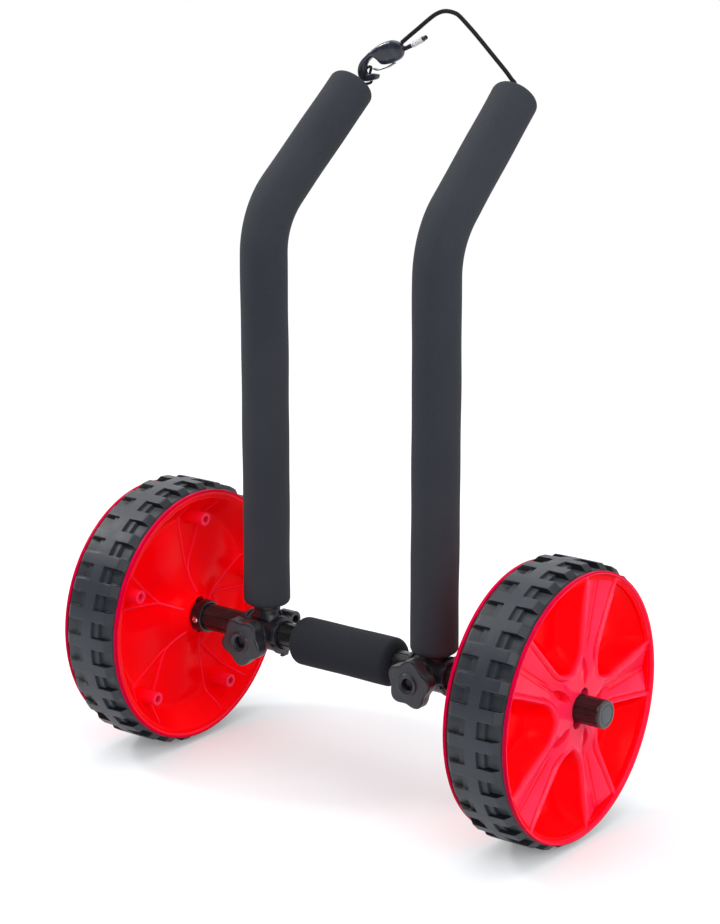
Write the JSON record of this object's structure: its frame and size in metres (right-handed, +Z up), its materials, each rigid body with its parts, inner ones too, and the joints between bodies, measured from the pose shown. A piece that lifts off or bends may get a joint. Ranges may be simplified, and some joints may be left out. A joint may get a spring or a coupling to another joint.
{
  "type": "paddleboard cart",
  "caption": "Pull cart for a paddleboard: clamp brackets with bent foam-covered uprights slide on a fluted axle between red dished wheels, closed by a bungee and hook.",
  "frame": {"origin": "on the floor, under the middle of the cart's box without the cord and hook", "axes": "+X along the axle towards the right wheel, -Y towards the star knobs, +Z up"},
  "size_m": [0.542, 0.2653, 0.7011],
  "materials": {
    "black_tube": "satin black anodised tube with fine lengthwise flutes",
    "grey_cap": "grey-green moulded cap, soft sheen",
    "black_satin": "satin black moulded plastic",
    "bright_steel": "bright plated steel",
    "foam": "charcoal closed-cell foam with a matte pebbled skin",
    "tyre": "matte dark blue-grey rubber",
    "red_plastic": "glossy saturated red moulding",
    "dark_plastic": "dark grey satin glass-filled plastic",
    "brass": "turned brass",
    "cord": "black braided cord",
    "clear_sleeve": "clear shrink sleeve"
  },
  "bodies": {
    "axle": {"axle_tube": "black_tube", "end_cap_left": "grey_cap", "end_cap_right": "grey_cap", "stop_collar_left": "black_satin", "stop_collar_right": "black_satin", "collar_screw_left": "bright_steel", "collar_screw_right": "bright_steel", "centre_sleeve": "foam", "button_spring_left": "bright_steel", "button_spring_right": "bright_steel", "bungee_cord": "cord"},
    "wheel_left": {"tyre_left": "tyre", "rim_outer_left": "red_plastic", "rim_inner_left": "red_plastic", "rim_screw_left_1": "bright_steel", "rim_screw_left_2": "bright_steel", "rim_screw_left_3": "bright_steel", "rim_screw_left_4": "bright_steel", "rim_screw_left_5": "bright_steel"},
    "bracket_left": {"bracket_left": "dark_plastic", "upright_tube_left": "black_tube", "upright_foam_left": "foam", "top_plug_left": "black_satin", "upright_pin_left": "bright_steel", "knob_insert_left": "brass", "cord_knot_left": "cord", "anchor_loop": "cord", "hook_body": "dark_plastic", "bungee_tail": "cord", "end_sleeve": "clear_sleeve", "cord_tip": "black_satin"},
    "clamp_left": {"clamp_pad_left": "black_satin"},
    "knob_left": {"knob_left": "dark_plastic"},
    "button_left": {"snap_button_left": "bright_steel"},
    "wheel_right": {"tyre_right": "tyre", "rim_outer_right": "red_plastic", "rim_inner_right": "red_plastic", "rim_screw_right_1": "bright_steel", "rim_screw_right_2": "bright_steel", "rim_screw_right_3": "bright_steel", "rim_screw_right_4": "bright_steel", "rim_screw_right_5": "bright_steel"},
    "bracket_right": {"bracket_right": "dark_plastic", "upright_tube_right": "black_tube", "upright_foam_right": "foam", "top_plug_right": "black_satin", "upright_pin_right": "bright_steel", "knob_insert_right": "brass", "cord_knot_right": "cord"},
    "clamp_right": {"clamp_pad_right": "black_satin"},
    "knob_right": {"knob_right": "dark_plastic"},
    "button_right": {"snap_button_right": "bright_steel"},
    "hook_gate": {"hook_gate": "dark_plastic"}
  },
  "joints": [
    {"name": "wheel_left_spin", "type": "hinge", "parent": "axle", "child": "wheel_left", "pos_m": [-0.215, -0.00557, 0.127], "axis": [1, 0, 0], "continuous": true},
    {"name": "bracket_left_slide", "type": "slide", "parent": "axle", "child": "bracket_left", "axis": [1, 0, 0], "range_m": [-0.0485, 0.0185], "deforming": ["bungee_cord"]},
    {"name": "clamp_left_slide", "type": "slide", "parent": "bracket_left", "child": "clamp_left", "axis": [0, -1, 0], "range_m": [0, 0.0026]},
    {"name": "knob_left_turn", "type": "hinge", "parent": "clamp_left", "child": "knob_left", "pos_m": [-0.101, -0.00557, 0.127], "axis": [0, -1, 0], "range_deg": [0, 720]},
    {"name": "button_left_press", "type": "slide", "parent": "axle", "child": "button_left", "axis": [0, -1, 0], "range_m": [0, 0.0038], "stiffness_N_per_m": 900, "springref_m": -0.002, "deforming": ["button_spring_left"]},
    {"name": "wheel_right_spin", "type": "hinge", "parent": "axle", "child": "wheel_right", "pos_m": [0.215, -0.00557, 0.127], "axis": [1, 0, 0], "continuous": true},
    {"name": "bracket_right_slide", "type": "slide", "parent": "axle", "child": "bracket_right", "axis": [1, 0, 0], "range_m": [-0.0185, 0.0595], "deforming": ["bungee_cord"]},
    {"name": "clamp_right_slide", "type": "slide", "parent": "bracket_right", "child": "clamp_right", "axis": [0, -1, 0], "range_m": [0, 0.0026]},
    {"name": "knob_right_turn", "type": "hinge", "parent": "clamp_right", "child": "knob_right", "pos_m": [0.09, -0.00557, 0.127], "axis": [0, -1, 0], "range_deg": [0, 720]},
    {"name": "button_right_press", "type": "slide", "parent": "axle", "child": "button_right", "axis": [0, -1, 0], "range_m": [0, 0.0038], "stiffness_N_per_m": 900, "springref_m": -0.002, "deforming": ["button_spring_right"]},
    {"name": "hook_gate_press", "type": "hinge", "parent": "bracket_left", "child": "hook_gate", "pos_m": [-0.051, 0.12543, 0.6488], "axis": [0, 1, 0], "range_deg": [0, 11], "stiffness_Nm_per_rad": 0.06, "springref_deg": -8.59}
  ],
  "couplings": [
    {"joint": "clamp_left_slide", "follows": "knob_left_turn", "m_per_rad": 0.00019894},
    {"joint": "clamp_right_slide", "follows": "knob_right_turn", "m_per_rad": 0.00019894}
  ]
}
